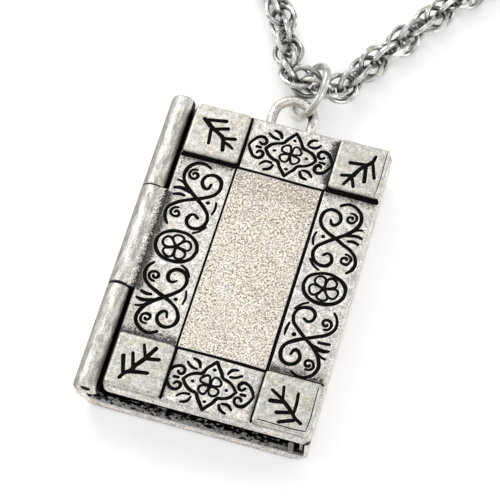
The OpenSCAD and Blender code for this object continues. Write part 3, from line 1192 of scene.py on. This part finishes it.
chain = {
    "route": [
        (-7.9, 203, 2), (-13, 202.4, 1.8), (-23, 199, 1.7), (-39, 189, 1.7), (-52, 173, 1.7),
        (-59, 152, 1.7), (-59.5, 129, 1.7), (-54, 106, 1.7), (-44, 85, 1.7), (-31.5, 65, 1.7),
        (-18.5, 47.5, 1.7), (-9.5, 36.5, 1.7), (-5.2, 30, 1.7), (-3.45, 26.45, 1.8),
        (-2.85, 23.8, 2.45), (-1.45, 22.4, 3.25), (1.3, 21.9, 2.75), (2.5, 22.35, 2.7),
        (3.85, 24.05, 2.2), (4.6, 26.15, 1.8), (6.8, 29.6, 1.7), (11, 36, 1.7), (20, 48, 1.7),
        (33, 65, 1.7), (45.5, 85, 1.7), (55.5, 106, 1.7), (61, 129, 1.7), (60.5, 152, 1.7),
        (53.5, 173, 1.7), (40.5, 189, 1.7), (24.5, 199, 1.7), (14.5, 202.4, 1.8), (9.4, 203, 2),
    ],
    "linkReach": (1.65, 1.4),
    "wire": 0.275,
    "pitch": 1.3,
    "twist": 52,
    "phase": 144,
    "slide": 0.6,
    "lookAhead": 1.2,
    "lastRoom": 1.4,  # length that the last link needs before the clasp
    "eyeGap": 0.05,
    "fine": (8, 2),  # steps in a quarter of a link and round its wire, near the locket
    "coarse": (4, 1),
    "fineReach": 46,
    "steps": 40,
}


def routeLine():
    # points close together on the smooth curve through the route, and how far along each one lies
    points = [Vector(p) for p in chain["route"]]
    points = [2 * points[0] - points[1], *points, 2 * points[-1] - points[-2]]
    line = []
    for p0, p1, p2, p3 in zip(points, points[1:], points[2:], points[3:]):
        for k in range(chain["steps"]):
            t = k / chain["steps"]
            line.append(0.5 * (2 * p1 + (p2 - p0) * t + (2 * p0 - 5 * p1 + 4 * p2 - p3) * t ** 2
                               + (3 * p1 - p0 - 3 * p2 + p3) * t ** 3))
    line.append(points[-2])
    reached = [0.0]
    for start, end in zip(line, line[1:]):
        reached.append(reached[-1] + (end - start).length)
    return line, reached


def pointAt(line, reached, distance):
    low, high = 0, len(reached) - 1
    while high - low > 1:
        middle = (low + high) // 2
        low, high = (middle, high) if reached[middle] <= distance else (low, middle)
    share = (distance - reached[low]) / (reached[high] - reached[low])
    return line[low].lerp(line[high], share)


def linkTemplate(name, around, across):
    # an oval of round wire
    bpy.ops.curve.primitive_bezier_circle_add(radius=1, enter_editmode=True)
    bpy.ops.transform.resize(value=(*chain["linkReach"], 1))
    bpy.ops.object.mode_set(mode="OBJECT")
    link = named(name)
    link.data.resolution_u = around
    link.data.bevel_depth = chain["wire"]
    link.data.bevel_resolution = across
    bpy.ops.object.convert(target="MESH")
    return named(name)


def copied(source):
    link = source.copy()
    link.data = source.data.copy()
    bpy.context.scene.collection.objects.link(link)
    return link


def makeChain():
    # two runs of links, each from the lowest turn of the chain to its end of the clasp
    line, reached = routeLine()
    lowest = min(range(len(line)), key=lambda i: line[i].y)
    bottom = reached[lowest] + chain["slide"]
    fine = linkTemplate("fineLink", *chain["fine"])
    coarse = linkTemplate("farLink", *chain["coarse"])
    parts = []
    for side in (-1, 1):
        room = bottom if side < 0 else reached[-1] - bottom
        count = int((room - chain["lastRoom"]) / chain["pitch"]) + 1
        lastAngle = chain["phase"] + side * count * chain["twist"]
        # the last link stands upright in the clasp's eye, and the twist is trimmed for that
        trim = (90 + 180 * round((lastAngle - 90) / 180) - lastAngle) / count
        for k in range(0 if side > 0 else 1, count + 1):
            along = bottom + side * (room - chain["eyeGap"] if k == count else k * chain["pitch"])
            before = pointAt(line, reached, max(0, along - chain["lookAhead"]))
            after = pointAt(line, reached, min(reached[-1], along + chain["lookAhead"]))
            centre = pointAt(line, reached, along)
            if k < count:
                centre = (centre + (before + after) / 2) / 2
            forward = (after - before).normalized()
            sideways = forward.cross(Vector((0, 0, 1))).normalized()
            upward = sideways.cross(forward)
            angle = math.radians(chain["phase"] + side * k * chain["twist"] + k * trim)
            normal = math.cos(angle) * upward + math.sin(angle) * sideways
            stance = Matrix((forward, normal.cross(forward), normal)).transposed().to_4x4()
            link = copied(fine if k * chain["pitch"] < chain["fineReach"] else coarse)
            link.matrix_world = Matrix.Translation(centre) @ stance
            parts.append(link)
    for source in (fine, coarse):
        bpy.data.objects.remove(source, do_unlink=True)
    pick(*parts)
    bpy.ops.object.join()
    obj = settle(named("rope_chain"))
    paint(obj, chainSilver)
    print("links", len(parts))
    bringDown(obj, "base", "chain_silver", "chain")


clasp = {
    "centre": (0.75, 203, 2),
    "length": 11,
    "radius": 2.0,
    "round": (0.35, 4),
    "collarStep": 0.4,
    "collarLength": 2,
    "collarRound": (0.2, 3),
    "sides": 48,
    "eyeRadius": 1.25,
    "eyeWire": 0.4,
    "eyeAt": 6.75,
    "eyeSteps": 40,
    "eyeSides": 14,
}


def makeClasp():
    x, y, z = clasp["centre"]
    half = clasp["collarLength"] / 2
    collarAt = clasp["length"] / 2 - half
    obj = rod("barrel_clasp", clasp["radius"], (x, y, z), clasp["length"] - half, "X",
              clasp["sides"])
    roundEdges(obj, *clasp["round"], lambda mid, way: crosses(way.x))
    for side in (-1, 1):
        collar = rod("collar", clasp["radius"] - clasp["collarStep"],
                     (x + side * collarAt, y, z), clasp["collarLength"], "X", clasp["sides"])
        roundEdges(collar, *clasp["collarRound"], lambda mid, way: crosses(way.x))
        combine(obj, collar, "UNION")
        eye = torus("eye", clasp["eyeRadius"], clasp["eyeWire"], clasp["eyeSteps"],
                    clasp["eyeSides"], (x + side * clasp["eyeAt"], y, z))
        combine(obj, eye, "UNION")
    paint(obj, chainSilver)
    bringDown(obj, "base", "chain_silver", "clasp")


makeFrontCover()
makeBackCover()
makePin()
makeJumpRing()
makeChain()
makeClasp()

print("all pieces are made")
